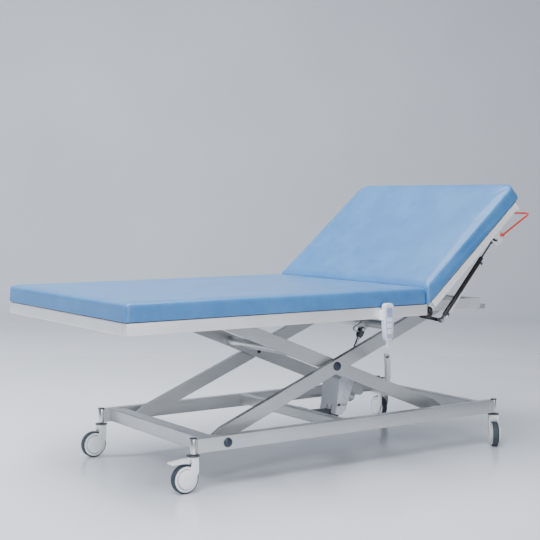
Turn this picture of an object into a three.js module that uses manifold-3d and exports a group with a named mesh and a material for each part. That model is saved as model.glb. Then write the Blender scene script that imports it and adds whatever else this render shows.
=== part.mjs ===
// Medical examination table on a scissor lift: padded top with a hinged backrest,
// electric actuator, hand control on a coiled cord, and four braked casters.
// Millimetres, +Z up, +X toward the head end, -Y the side with the hand control.
import * as THREE from 'three';
import { mergeVertices } from 'three/addons/utils/BufferGeometryUtils.js';
import Module from 'manifold-3d';

const wasm = await Module();
wasm.setup();

// ---------------------------------------------------------------- dimensions

const ORIGIN_X = 944.896; // foot edge of the pad to the middle of the bounding box
const ORIGIN_Y = -13.3; // centre line of the table to the middle of the bounding box

const PAD_HALF_WIDTH = 500;
const PAD_TOP = 696;
const BOARD_TOP = 638;
const FRAME_TOP = 628;
const FRAME_BOTTOM = 586;
const SEAT_LENGTH = 1308;
const RAIL_OUT = 494;
const RAIL_IN = 464;
const WALL = 2.5;

const HINGE = { x: 1335, z: 603 };
const BACK_ANGLE = 40.4; // backrest above the horizontal, at rest
const BACK_END = 2007; // head end of the back pad when it lies flat
const BACK_RAIL_BOTTOM = 598;

const SCISSOR_SLOPE = 21.75; // arms above the horizontal, at rest
const ARM_HALF = 597; // mid pivot to end pivot
const ARM_TALL = 52;
const ARM_END = 18; // end radius, so that the ends pass under the boards
const PIVOT_X = 471;
const PIVOT_LOW = 164.5;
const PIVOT_HIGH = 607;
const MID = { x: 1025.5, z: 385.75 };
const ROLLER_X = 1580;
const ROLLER_R = 16.5;
const OUTER_ARM = [275, 296];
const INNER_ARM = [248, 269];

const CHANNEL_IN = 337;
const CHANNEL_OUT = 377;
const BEAM_IN = 344;
const BEAM_OUT = 377;
const BEAM_BOTTOM = 138.5;
const BEAM_TOP = 190.5;
const BASE_FOOT = 350.3;
const BASE_HEAD = 1796.7;

const CASTER_Y = 360.5;
const CASTER_FOOT = 336;
const CASTER_HEAD = 1811;
const WHEEL_R = 51.5;
const TRAIL = 35;

const ACTUATOR_LOW = { x: 1172, z: 158 };
const ACTUATOR_HIGH = { x: 1335, z: 490 };
const ACTUATOR_Y = -62;
const ACTUATOR_ANGLE = 63.85;
const ACTUATOR_SLOT = 171.7;
const CROSS_TUBE = { x: 1362, z: 516 };

const STRUT_LOW = { x: 1424, z: 557 };
const STRUT_ANGLE = 48.0;
const STRUT_REACH = 418.5;
const STRUT_Y = -450;
const STRUT_EYE = { x: 1787.7, z: 565.7 }; // upper eye, with the backrest flat
const STRUT_SLOT = 119; // slot direction, with the backrest flat
const BAIL_PIVOT = { x: 1822.6, z: 564.9 };
const BAIL_END = { x: 1997.6, z: 531.5 };

const HANDSET_X = 1095;

// ---------------------------------------------------------------- materials

const steel = { color: 0xb9bfc2, roughness: 0.38, metalness: 0.9 };
const darkSteel = { color: 0x4a5158, roughness: 0.5, metalness: 0.8 };
const cap = { color: 0x1d2733, roughness: 0.35, metalness: 0.1 };
const vinyl = { color: 0x6f9fc8, roughness: 0.5, metalness: 0.0 };
const wood = { color: 0x47474a, roughness: 0.7, metalness: 0.0 };
const white = { color: 0xe4e8ee, roughness: 0.45, metalness: 0.0 };
const tyre = { color: 0x3c4654, roughness: 0.7, metalness: 0.0 };
const motorGrey = { color: 0xaab6c8, roughness: 0.5, metalness: 0.0 };
const black = { color: 0x17191c, roughness: 0.4, metalness: 0.2 };
const red = { color: 0xc42a20, roughness: 0.4, metalness: 0.1 };
const blueKey = { color: 0x4a79c0, roughness: 0.5, metalness: 0.0 };
const cordGrey = { color: 0x8f98a6, roughness: 0.6, metalness: 0.0 };
const nylon = { color: 0x2a2d31, roughness: 0.5, metalness: 0.0 };

// ---------------------------------------------------------------- helpers

const rad = THREE.MathUtils.degToRad;
const table = new THREE.Group();
table.position.set(-ORIGIN_X, -ORIGIN_Y, 0);

// Positions only, shared vertices merged, no collapsed triangles, faces outward.
function weld(geometry) {
  const bare = new THREE.BufferGeometry();
  bare.setAttribute('position', geometry.attributes.position.clone());
  if (geometry.index) {
    bare.setIndex(geometry.index.clone());
  }
  const merged = mergeVertices(bare, 1e-3);
  const from = merged.index.array;
  const p = merged.attributes.position;
  const kept = [];
  const a = new THREE.Vector3();
  const b = new THREE.Vector3();
  const c = new THREE.Vector3();
  let volume = 0;
  for (let i = 0; i < from.length; i += 3) {
    const [u, v, w] = [from[i], from[i + 1], from[i + 2]];
    if (u === v || v === w || u === w) {
      continue;
    }
    kept.push(u, v, w);
    a.fromBufferAttribute(p, u);
    b.fromBufferAttribute(p, v);
    c.fromBufferAttribute(p, w);
    volume += a.dot(b.cross(c));
  }
  if (volume < 0) {
    for (let i = 0; i < kept.length; i += 3) {
      const swap = kept[i + 1];
      kept[i + 1] = kept[i + 2];
      kept[i + 2] = swap;
    }
  }
  merged.setIndex(kept);
  return merged;
}

function solid(geometry) {
  const g = weld(geometry);
  return new wasm.Manifold(new wasm.Mesh({
    numProp: 3,
    vertProperties: new Float32Array(g.attributes.position.array),
    triVerts: new Uint32Array(g.index.array),
  }));
}

function surface(manifold) {
  const mesh = manifold.getMesh();
  const g = new THREE.BufferGeometry();
  g.setAttribute('position', new THREE.BufferAttribute(new Float32Array(mesh.vertProperties), 3));
  g.setIndex(new THREE.BufferAttribute(new Uint32Array(mesh.triVerts), 1));
  return g;
}

function join(...pieces) {
  let whole = solid(pieces[0]);
  for (const piece of pieces.slice(1)) {
    whole = whole.add(solid(piece));
  }
  return surface(whole);
}

function cut(body, ...tools) {
  let whole = solid(body);
  for (const tool of tools) {
    whole = whole.subtract(solid(tool));
  }
  return surface(whole);
}

function common(a, b) {
  return surface(solid(a).intersect(solid(b)));
}

function add(name, geometry, material) {
  const shape = weld(geometry);
  shape.computeVertexNormals();
  const mesh = new THREE.Mesh(shape, new THREE.MeshStandardMaterial(material));
  mesh.name = name;
  table.add(mesh);
  return mesh;
}

// Interval on one side of the centre line: side -1 is the hand control's side.
function span(side, a, b) {
  return [Math.min(side * a, side * b), Math.max(side * a, side * b)];
}

function box(x0, x1, y0, y1, z0, z1) {
  const g = new THREE.BoxGeometry(x1 - x0, y1 - y0, z1 - z0);
  return g.translate((x0 + x1) / 2, (y0 + y1) / 2, (z0 + z1) / 2);
}

function ring(cx, cy, r, from, to, steps) {
  const points = [];
  for (let i = 0; i <= steps; i += 1) {
    const t = rad(from + ((to - from) * i) / steps);
    points.push(new THREE.Vector2(cx + r * Math.cos(t), cy + r * Math.sin(t)));
  }
  return points;
}

function roundRect(a0, a1, b0, b1, r, steps = 3) {
  return [
    ...ring(a1 - r, b1 - r, r, 0, 90, steps),
    ...ring(a0 + r, b1 - r, r, 90, 180, steps),
    ...ring(a0 + r, b0 + r, r, 180, 270, steps),
    ...ring(a1 - r, b0 + r, r, 270, 360, steps),
  ];
}

function outline(points, hole) {
  const shape = new THREE.Shape(points.map((p) => (Array.isArray(p) ? new THREE.Vector2(...p) : p)));
  if (hole) {
    shape.holes.push(new THREE.Path(hole));
  }
  return shape;
}

function extrude(shape, depth) {
  return new THREE.ExtrudeGeometry(shape, { depth, bevelEnabled: false });
}

// Outline in X and Z, thickness along Y.
function plateXZ(points, y0, y1, hole) {
  return extrude(outline(points, hole), y1 - y0).rotateX(Math.PI / 2).translate(0, y1, 0);
}

// Outline in Y and Z, length along X.
function plateYZ(points, x0, x1, hole) {
  const turn = new THREE.Matrix4().makeBasis(
    new THREE.Vector3(0, 1, 0),
    new THREE.Vector3(0, 0, 1),
    new THREE.Vector3(1, 0, 0),
  );
  return extrude(outline(points, hole), x1 - x0).applyMatrix4(turn).translate(x0, 0, 0);
}

// Outline in X and Y, height along Z.
function plateXY(points, z0, z1, hole) {
  return extrude(outline(points, hole), z1 - z0).translate(0, 0, z0);
}

// Open-ended rectangular tubes with rounded corners.
function tubeX(x0, x1, y0, y1, z0, z1, wall = WALL) {
  const hole = roundRect(y0 + wall, y1 - wall, z0 + wall, z1 - wall, 1.5);
  return plateYZ(roundRect(y0, y1, z0, z1, 4), x0, x1, hole);
}

function tubeY(x0, x1, y0, y1, z0, z1, wall = WALL) {
  const hole = roundRect(x0 + wall, x1 - wall, z0 + wall, z1 - wall, 1.5);
  return plateXZ(roundRect(x0, x1, z0, z1, 4), y0, y1, hole);
}

function cylY(r, x, z, y0, y1, sides = 20) {
  return new THREE.CylinderGeometry(r, r, y1 - y0, sides).translate(x, (y0 + y1) / 2, z);
}

function cylZ(r, x, y, z0, z1, sides = 20) {
  const g = new THREE.CylinderGeometry(r, r, z1 - z0, sides).rotateX(Math.PI / 2);
  return g.translate(x, y, (z0 + z1) / 2);
}

// Turned shape about Z from [radius, height] pairs that start and end on the axis.
function turned(profile, sides = 20) {
  const points = profile.map(([r, h]) => new THREE.Vector2(r, h));
  return new THREE.LatheGeometry(points, sides).rotateX(Math.PI / 2);
}

// Shallow dome with its flat face at Y = y, bulging away from the centre line.
function dome(r, height, x, z, y, side) {
  const profile = [
    [0, 0],
    [r, 0],
    [r, height * 0.35],
    [r * 0.86, height * 0.72],
    [r * 0.5, height * 0.95],
    [0, height],
  ];
  return turned(profile).rotateX((-side * Math.PI) / 2).translate(x, y, z);
}

// Raise the +X end by an angle about an axis along Y through (x, z).
function tilt(geometry, at, angle) {
  return geometry.translate(-at.x, 0, -at.z).rotateY(-rad(angle)).translate(at.x, 0, at.z);
}

// Convex outline around circles given as [x, z, r].
function hull(circles, steps = 24) {
  const all = circles.flatMap(([x, z, r]) => ring(x, z, r, 0, 360 - 360 / steps, steps - 1));
  all.sort((p, q) => p.x - q.x || p.y - q.y);
  const cross = (o, p, q) => (p.x - o.x) * (q.y - o.y) - (p.y - o.y) * (q.x - o.x);
  const half = (list) => {
    const chain = [];
    for (const p of list) {
      while (chain.length > 1 && cross(chain.at(-2), chain.at(-1), p) <= 1e-9) {
        chain.pop();
      }
      chain.push(p);
    }
    chain.pop();
    return chain;
  };
  return [...half(all), ...half([...all].reverse())];
}

// Straight slot with round ends along a direction, as an outline.
function slot(x, z, angle, from, to, halfWidth) {
  const c = Math.cos(rad(angle));
  const s = Math.sin(rad(angle));
  return hull([
    [x + c * from, z + s * from, halfWidth],
    [x + c * to, z + s * to, halfWidth],
  ]);
}

// Round rod through corner points, with rounded bends.
function bentRod(corners, bend, r, sides, steps) {
  const path = new THREE.CurvePath();
  let from = corners[0];
  for (let i = 1; i < corners.length; i += 1) {
    const here = corners[i];
    if (i === corners.length - 1) {
      path.add(new THREE.LineCurve3(from, here));
      break;
    }
    const back = from.clone().sub(here).setLength(bend);
    const ahead = corners[i + 1].clone().sub(here).setLength(bend);
    const start = here.clone().add(back);
    const end = here.clone().add(ahead);
    path.add(new THREE.LineCurve3(from, start));
    path.add(new THREE.QuadraticBezierCurve3(start, here, end));
    from = end;
  }
  return tubeAlong(path, r, sides, steps);
}

function tubeAlong(path, r, sides, steps) {
  const section = new THREE.Shape(ring(0, 0, r, 0, 360 - 360 / sides, sides - 1));
  return new THREE.ExtrudeGeometry(section, { steps, bevelEnabled: false, extrudePath: path });
}

// ---------------------------------------------------------------- base frame

for (const [word, side] of [['near', -1], ['far', 1]]) {
  const [y0, y1] = span(side, BEAM_OUT, BEAM_IN);
  const [t0, t1] = span(side, BEAM_IN + 2, CHANNEL_IN - 33);
  const track = [
    [t0, 143.5],
    [t1, 143.5],
    [t1, 147.5],
    [t0, 147.5],
  ];
  const sockets = [CASTER_FOOT, CASTER_HEAD].map((x) => cylZ(14, x, side * CASTER_Y, 138, 193));
  const stemBores = [CASTER_FOOT, CASTER_HEAD].map((x) => cylZ(6.2, x, side * CASTER_Y, 130, 184));
  add(`base_beam_${word}`, cut(
    join(
      tubeX(BASE_FOOT - 4, BASE_HEAD + 4, y0, y1, BEAM_BOTTOM, BEAM_TOP, 3),
      ...sockets,
      plateYZ(track, 1370, 1700),
      plateYZ(track, 1370, 1700).translate(0, 0, 38),
    ),
    ...stemBores,
    cylY(8.4, PIVOT_X, PIVOT_LOW, y0 - 2, y1 + 2),
    cylZ(4, 430, side * CASTER_Y, 130, 145, 16),
    cylZ(4, 1300, side * CASTER_Y, 130, 145, 16),
  ), steel);
  const [s0, s1] = span(side, BEAM_IN - 0.4, OUTER_ARM[1] + 0.4);
  const [p0, p1] = span(side, BEAM_OUT + 1, OUTER_ARM[0] - 2);
  const [e0, e1] = span(side, OUTER_ARM[0] - 0.5, OUTER_ARM[0] - 3.5);
  add(`base_pivot_pin_${word}`, join(
    dome(16.5, 6.5, PIVOT_X, PIVOT_LOW, side * (BEAM_OUT + 0.4), side),
    cylY(8, PIVOT_X, PIVOT_LOW, p0, p1),
    cylY(14, PIVOT_X, PIVOT_LOW, s0, s1),
    cylY(13, PIVOT_X, PIVOT_LOW, e0, e1),
  ), cap);
}

const baseReach = BEAM_IN - 0.3;
add('base_cross_foot', join(
  tubeY(370, 403, -baseReach, baseReach, BEAM_BOTTOM, BEAM_TOP),
  box(401, 433, -baseReach, baseReach, 181.5, 186.5),
  box(429, 433, -baseReach, baseReach, 158, 186.5),
), steel);
add('base_cross_mid', tubeY(996, 1029, -baseReach, baseReach, 149, 190.5), steel);
add('base_cross_head', tubeY(1709, 1742, -baseReach, baseReach, BEAM_BOTTOM, BEAM_TOP), steel);

const lugArm = hull([
  [1044, 164, 12],
  [ACTUATOR_LOW.x, ACTUATOR_LOW.z, 13],
]);
add('actuator_bracket', join(
  box(1029.3, 1035, ACTUATOR_Y - 32, ACTUATOR_Y + 32, 150, 189),
  plateXZ(lugArm, ACTUATOR_Y - 14, ACTUATOR_Y - 8),
  plateXZ(lugArm, ACTUATOR_Y + 8, ACTUATOR_Y + 14),
  cylY(6, ACTUATOR_LOW.x, ACTUATOR_LOW.z, ACTUATOR_Y - 18, ACTUATOR_Y + 18),
), darkSteel);

// ---------------------------------------------------------------- scissor arms

// One arm along X about the origin: two closed bays with a weep hole each.
function armBlank(y0, y1, boreAt) {
  const bar = plateXZ(hull([
    [-ARM_HALF, 0, ARM_END],
    [-ARM_HALF + 38, 0, ARM_TALL / 2],
    [ARM_HALF - 38, 0, ARM_TALL / 2],
    [ARM_HALF, 0, ARM_END],
  ]), y0, y1);
  const bays = [-1, 1].flatMap((end) => [
    box(Math.min(end * 550, end * 40), Math.max(end * 550, end * 40), y0 + 3, y1 - 3, -23, 23),
    cylZ(3, end * 300, (y0 + y1) / 2, -30, -20, 12),
  ]);
  const bores = boreAt.map((x) => cylY(8.4, x, 0, y0 - 2, y1 + 2));
  return cut(bar, ...bays, ...bores);
}

for (const [word, side] of [['near', -1], ['far', 1]]) {
  const [o0, o1] = span(side, ...OUTER_ARM);
  const [u0, u1] = span(side, OUTER_ARM[1] - 2, CHANNEL_IN + 32.5);
  const [c0, c1] = span(side, OUTER_ARM[1] - 2, CHANNEL_IN + 8);
  const outer = join(
    armBlank(o0, o1, [-ARM_HALF, 0]),
    cylY(6, ARM_HALF, 0, u0, u1),
    cylY(11, ARM_HALF, 0, c0, c1),
  );
  add(`outer_arm_${word}`, tilt(outer, { x: 0, z: 0 }, SCISSOR_SLOPE).translate(MID.x, 0, MID.z), steel);

  const [i0, i1] = span(side, ...INNER_ARM);
  const [v0, v1] = span(side, INNER_ARM[1] - 2, CHANNEL_IN + 0.2);
  const [w0, w1] = span(side, INNER_ARM[1] - 2, CHANNEL_IN - 24);
  const inner = join(
    armBlank(i0, i1, [-ARM_HALF, 0]),
    cylY(6, ARM_HALF, 0, v0, v1),
    cylY(11, ARM_HALF, 0, w0, w1),
  );
  add(`inner_arm_${word}`, tilt(inner, { x: 0, z: 0 }, -SCISSOR_SLOPE).translate(MID.x, 0, MID.z), steel);

  const [m0, m1] = span(side, OUTER_ARM[1] + 1, INNER_ARM[0] - 3);
  const [n0, n1] = span(side, INNER_ARM[0] - 0.4, INNER_ARM[0] - 4);
  const [g0, g1] = span(side, OUTER_ARM[0] - 0.4, INNER_ARM[1] + 0.4);
  add(`mid_pivot_pin_${word}`, join(
    dome(16.5, 6.5, MID.x, MID.z, side * (OUTER_ARM[1] + 0.4), side),
    cylY(8, MID.x, MID.z, m0, m1),
    cylY(13, MID.x, MID.z, g0, g1),
    cylY(13, MID.x, MID.z, n0, n1),
  ), cap);

  const [a0, a1] = span(side, CHANNEL_IN + 9, CHANNEL_IN + 31);
  add(`roller_upper_${word}`, cut(
    cylY(ROLLER_R, ROLLER_X, PIVOT_HIGH, a0, a1),
    cylY(6.45, ROLLER_X, PIVOT_HIGH, a0 - 1, a1 + 1),
  ), nylon);
  const [b0, b1] = span(side, CHANNEL_IN - 23, CHANNEL_IN - 1);
  add(`roller_lower_${word}`, cut(
    cylY(ROLLER_R, ROLLER_X, PIVOT_LOW, b0, b1),
    cylY(6.45, ROLLER_X, PIVOT_LOW, b0 - 1, b1 + 1),
  ), nylon);
}

const slotCos = Math.cos(rad(ACTUATOR_SLOT));
const slotSin = Math.sin(rad(ACTUATOR_SLOT));
add('outer_cross_tube', cut(
  join(
    cylY(18, CROSS_TUBE.x, CROSS_TUBE.z, -OUTER_ARM[0] + 0.3, OUTER_ARM[0] - 0.3, 32),
    plateXZ(hull([
      [ACTUATOR_HIGH.x, ACTUATOR_HIGH.z, 12.5],
      [ACTUATOR_HIGH.x + slotCos * 32, ACTUATOR_HIGH.z + slotSin * 32, 12.5],
      [CROSS_TUBE.x, CROSS_TUBE.z, 17],
    ]), ACTUATOR_Y - 4.5, ACTUATOR_Y + 4.5),
  ),
  cylY(15, CROSS_TUBE.x, CROSS_TUBE.z, -OUTER_ARM[0] - 2, OUTER_ARM[0] + 2, 32),
  plateXZ(
    slot(ACTUATOR_HIGH.x, ACTUATOR_HIGH.z, ACTUATOR_SLOT, -0.8, 32.4, 6.6),
    ACTUATOR_Y - 6,
    ACTUATOR_Y + 6,
  ),
), steel);
add('inner_cross_tube', cut(
  cylY(18, 885, 441.8, -INNER_ARM[0] + 0.3, INNER_ARM[0] - 0.3, 32),
  cylY(15, 885, 441.8, -INNER_ARM[0] - 2, INNER_ARM[0] + 2, 32),
), steel);

// Saddle clip with its screw on top of the near inner arm.
const clipAngle = -SCISSOR_SLOPE;
const clipBlank = join(
  box(1262, 1285, -268, -249, 26.3, 29.5),
  cylZ(4.5, 1273.5, -258.5, 29, 33, 16),
);
add('cord_clip', clipBlank.translate(-MID.x, 0, 0).rotateY(-rad(clipAngle))
  .translate(MID.x, 0, MID.z), darkSteel);

// ---------------------------------------------------------------- actuator

// Along the actuator: local X runs from the lower pivot to the upper pivot.
function alongActuator(geometry) {
  return geometry.rotateY(-rad(ACTUATOR_ANGLE)).translate(ACTUATOR_LOW.x, 0, ACTUATOR_LOW.z);
}

function cylX(r, x0, x1, y, z, sides = 24) {
  const g = new THREE.CylinderGeometry(r, r, x1 - x0, sides).rotateZ(Math.PI / 2);
  return g.translate((x0 + x1) / 2, y, z);
}

const housing = plateXZ([
  [1163, 190],
  [1168, 184],
  [1212, 184],
  [1262, 312],
  [1252, 320],
  [1186, 308],
  [1178, 300],
], ACTUATOR_Y - 55, ACTUATOR_Y + 55);
// Lower half on either side of the pivot, open between for the bracket.
const lobe = [
  [1156, 160],
  [1161, 153],
  [1193, 153],
  [1200, 157],
  [1214, 192],
  [1166, 192],
];
const motorEnd = tilt(box(1208, 1290, ACTUATOR_Y - 22, ACTUATOR_Y + 22, 208, 252), { x: 1235, z: 230 }, -20);
const actuatorEye = plateXZ(hull([
  [ACTUATOR_LOW.x, ACTUATOR_LOW.z, 13],
  [1184, 192, 14],
]), ACTUATOR_Y - 7.4, ACTUATOR_Y + 7.4);
add('actuator_housing', cut(
  join(
    housing,
    plateXZ(lobe, ACTUATOR_Y - 55, ACTUATOR_Y - 22),
    plateXZ(lobe, ACTUATOR_Y + 22, ACTUATOR_Y + 55),
    motorEnd,
    actuatorEye,
    alongActuator(cylX(12.5, 120, 241, ACTUATOR_Y, 0)),
    alongActuator(cylX(16, 120, 176, ACTUATOR_Y, 0)),
  ),
  alongActuator(cylX(8.2, 35, 260, ACTUATOR_Y, 0)),
  cylY(6.5, ACTUATOR_LOW.x, ACTUATOR_LOW.z, ACTUATOR_Y - 9, ACTUATOR_Y + 9),
), motorGrey);
const reach = 369.9;
const prong = hull([
  [reach, 0, 12],
  [reach - 30, 0, 12],
]);
add('actuator_rod', join(
  alongActuator(cylX(7.5, reach - 250, reach - 30, ACTUATOR_Y, 0)),
  alongActuator(cylX(12, reach - 36, reach - 26.5, ACTUATOR_Y, 0)),
  alongActuator(plateXZ(prong, ACTUATOR_Y - 12, ACTUATOR_Y - 6)),
  alongActuator(plateXZ(prong, ACTUATOR_Y + 6, ACTUATOR_Y + 12)),
  alongActuator(cylY(6, reach, 0, ACTUATOR_Y - 15, ACTUATOR_Y + 15)),
), black);

// ---------------------------------------------------------------- upper frame

for (const [word, side] of [['near', -1], ['far', 1]]) {
  const [y0, y1] = span(side, RAIL_OUT, RAIL_IN);
  const [k0, k1] = span(side, RAIL_OUT, RAIL_OUT - 10.7);
  const [p0, p1] = span(side, RAIL_OUT - 10, RAIL_IN + 2);
  const [q0, q1] = span(side, RAIL_IN + 6.8, RAIL_IN + 3);
  add(`top_rail_${word}`, join(
    tubeX(6, 1303, y0, y1, FRAME_BOTTOM, FRAME_TOP),
    plateXZ(hull([
      [1292, 603, 15],
      [HINGE.x, HINGE.z, 18],
    ]), k0, k1),
    cylY(6.5, HINGE.x, HINGE.z, p0, p1),
    cylY(10, HINGE.x, HINGE.z, q0, q1),
  ), steel);

  const [c0, c1, c2] = [side * CHANNEL_OUT, side * CHANNEL_IN, side * (CHANNEL_OUT - 4)];
  const channel = plateYZ([
    [c0, FRAME_BOTTOM],
    [c1, FRAME_BOTTOM],
    [c1, FRAME_BOTTOM + 4],
    [c2, FRAME_BOTTOM + 4],
    [c2, FRAME_TOP - 4],
    [c1, FRAME_TOP - 4],
    [c1, FRAME_TOP],
    [c0, FRAME_TOP],
  ], 36.3, 1709);
  const [s0, s1] = span(side, CHANNEL_OUT - 2, INNER_ARM[1] + 0.4);
  const [n0, n1] = span(side, CHANNEL_OUT - 2, INNER_ARM[0] - 3);
  const [e0, e1] = span(side, INNER_ARM[0] - 0.5, INNER_ARM[0] - 4);
  add(`scissor_rail_${word}`, join(
    channel,
    cylY(13, PIVOT_X, PIVOT_HIGH, s0, s1),
    cylY(8, PIVOT_X, PIVOT_HIGH, n0, n1),
    cylY(12, PIVOT_X, PIVOT_HIGH, e0, e1),
  ), steel);
}

add('top_cross_foot', tubeY(6, 36, -RAIL_IN + 0.3, RAIL_IN - 0.3, FRAME_BOTTOM, FRAME_TOP), steel);
add('top_cross_hinge', tubeY(
  1273, 1303, -CHANNEL_IN + 0.3, CHANNEL_IN - 0.3, FRAME_BOTTOM, FRAME_TOP,
), steel);
add('top_outrigger_far', tubeY(
  1273, 1303, CHANNEL_OUT + 0.3, RAIL_IN - 0.3, FRAME_BOTTOM, FRAME_TOP,
), steel);
add('top_outrigger_near', join(
  tubeY(1273, 1303, -RAIL_IN + 0.3, -CHANNEL_OUT - 0.3, FRAME_BOTTOM, FRAME_TOP),
  plateXZ([
    [1301, 590],
    [1318, 566],
    [1420, 547],
    [1431, 547],
    [1436, 552],
    [1435, 565],
    [1426, 569],
    [1336, 585],
    [1318, 606],
    [1301, 622],
  ], -436, -431),
  cylY(4, STRUT_LOW.x, STRUT_LOW.z, -460, -434),
), steel);
add('sub_head_cross', join(
  tubeY(1676, 1706, -CHANNEL_IN + 0.3, CHANNEL_IN - 0.3, FRAME_BOTTOM, FRAME_TOP),
  box(1700, 1712, -CHANNEL_IN + 0.3, CHANNEL_IN - 0.3, 588.6, 601),
  box(1709.3, 1738, -CHANNEL_OUT, CHANNEL_OUT, 582, 601),
), darkSteel);

function padXY(x0, x1, z0, z1, corner, edge) {
  const points = roundRect(x0 + edge, x1 - edge, -PAD_HALF_WIDTH + edge, PAD_HALF_WIDTH - edge, corner, 5);
  const g = new THREE.ExtrudeGeometry(new THREE.Shape(points), {
    depth: z1 - z0 - 2 * edge,
    bevelEnabled: true,
    bevelThickness: edge,
    bevelSize: edge,
    bevelSegments: 3,
  });
  return g.translate(0, 0, z0 + edge);
}

add('seat_board', box(8, 1300, -490, 490, FRAME_TOP + 0.3, BOARD_TOP - 0.3), wood);
add('seat_pad', padXY(0, SEAT_LENGTH, BOARD_TOP, PAD_TOP, 14, 10), vinyl);

// ---------------------------------------------------------------- backrest

// Drawn lying flat, then raised about the hinge.
const raise = (geometry) => tilt(geometry, HINGE, BACK_ANGLE);

for (const [word, side] of [['near', -1], ['far', 1]]) {
  const [y0, y1] = span(side, RAIL_OUT, RAIL_IN);
  const [l0, l1] = span(side, RAIL_OUT - 12, RAIL_IN + 8);
  const [t0, t1] = span(side, RAIL_IN + 6, RAIL_IN + 1);
  const pieces = [
    tubeX(1357, 1944, y0, y1, BACK_RAIL_BOTTOM, FRAME_TOP),
    plateXZ(hull([
      [HINGE.x, HINGE.z, 17],
      [1368, 613, 14],
    ]), l0, l1),
    plateXZ(hull([
      [1787, 561, 15],
      [1806, 550, 13],
      [1826, 566, 12],
      [1778, 594, 6],
      [1832, 594, 6],
    ]), t0, t1),
  ];
  const tools = [
    cylY(7, HINGE.x, HINGE.z, l0 - 2, l1 + 2),
    cylY(4.4, BAIL_PIVOT.x, BAIL_PIVOT.z, t0 - 2, t1 + 2, 20),
  ];
  if (side < 0) {
    tools.push(plateXZ(slot(STRUT_EYE.x, STRUT_EYE.z, STRUT_SLOT, -3.8, 17, 5.8), t0 - 2, t1 + 2));
  }
  add(`back_rail_${word}`, raise(cut(join(...pieces), ...tools)), steel);
}
const backCross = [['low', 1748], ['top', 1911]];
for (const [word, x] of backCross) {
  add(`back_cross_${word}`, raise(tubeY(
    x, x + 30, -RAIL_IN + 0.3, RAIL_IN - 0.3, BACK_RAIL_BOTTOM, FRAME_TOP,
  )), steel);
}
const backPlan = [
  [1340, -PAD_HALF_WIDTH],
  ...ring(BACK_END - 60, -PAD_HALF_WIDTH + 60, 60, 270, 360, 6),
  ...ring(BACK_END - 60, PAD_HALF_WIDTH - 60, 60, 0, 90, 6),
  [1340, PAD_HALF_WIDTH],
];
add('back_board', raise(common(
  plateXY(backPlan, FRAME_TOP + 0.6, BOARD_TOP - 0.3),
  box(1360, BACK_END - 8, -490, 490, 620, 650),
)), wood);
add('back_pad', raise(common(plateXY(backPlan, 600, 720), plateXZ([
  [1349.5, BOARD_TOP],
  [BACK_END - 8, BOARD_TOP],
  [BACK_END, BOARD_TOP + 8],
  [BACK_END, PAD_TOP - 14],
  [BACK_END - 5, PAD_TOP - 4],
  [BACK_END - 15, PAD_TOP],
  [1450, PAD_TOP],
], -PAD_HALF_WIDTH - 1, PAD_HALF_WIDTH + 1))), vinyl);

const bailY = 480;
const bailCorners = [
  [BAIL_PIVOT, -bailY],
  [BAIL_END, -bailY],
  [BAIL_END, bailY],
  [BAIL_PIVOT, bailY],
].map(([p, y]) => new THREE.Vector3(p.x, y, p.z));
add('release_bail', raise(join(
  bentRod(bailCorners, 22, 4, 8, 90),
  cylY(4, BAIL_PIVOT.x, BAIL_PIVOT.z, -bailY - 4, -461),
  cylY(5.5, BAIL_PIVOT.x, BAIL_PIVOT.z, -bailY - 4.5, -RAIL_IN - 8),
  cylY(4, BAIL_PIVOT.x, BAIL_PIVOT.z, 461, bailY + 4),
  cylY(5.5, BAIL_PIVOT.x, BAIL_PIVOT.z, RAIL_IN + 8, bailY + 4.5),
)), red);

// ---------------------------------------------------------------- gas strut

function alongStrut(geometry) {
  return geometry.rotateY(-rad(STRUT_ANGLE)).translate(STRUT_LOW.x, 0, STRUT_LOW.z);
}

add('strut_cylinder', alongStrut(cut(
  join(
    cylY(10, 0, 0, STRUT_Y - 7, STRUT_Y + 7),
    cylX(6, 6, 30, STRUT_Y, 0),
    cylX(8.5, 24, 340, STRUT_Y, 0),
    cylX(6, 30, 100, STRUT_Y, -13, 16),
    cylX(2.5, 90, 326, STRUT_Y, -13, 12),
    box(310, 322, STRUT_Y - 5, STRUT_Y + 5, -17, 0),
  ),
  cylX(4.2, 50, 350, STRUT_Y, 0, 16),
  cylY(4.5, 0, 0, STRUT_Y - 9, STRUT_Y + 9, 20),
)), black);
add('strut_rod', alongStrut(join(
  cylX(3.6, STRUT_REACH - 225, STRUT_REACH - 6, STRUT_Y, 0, 16),
  cylX(6, STRUT_REACH - 15, STRUT_REACH - 6, STRUT_Y, 0, 16),
  cylY(9, STRUT_REACH, 0, STRUT_Y - 6, STRUT_Y + 6),
  cylY(4, STRUT_REACH, 0, STRUT_Y - 22.5, STRUT_Y, 20),
)), steel);

// ---------------------------------------------------------------- hand control

const cradleX = 25;
add('handset_cradle', join(
  box(HANDSET_X - cradleX, HANDSET_X + cradleX, -497.3, -494.3, 582, 621),
  box(HANDSET_X - cradleX, HANDSET_X - cradleX + 3.4, -516, -494.3, 582, 621),
  box(HANDSET_X + cradleX - 3.4, HANDSET_X + cradleX, -516, -494.3, 582, 621),
), white);

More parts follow.
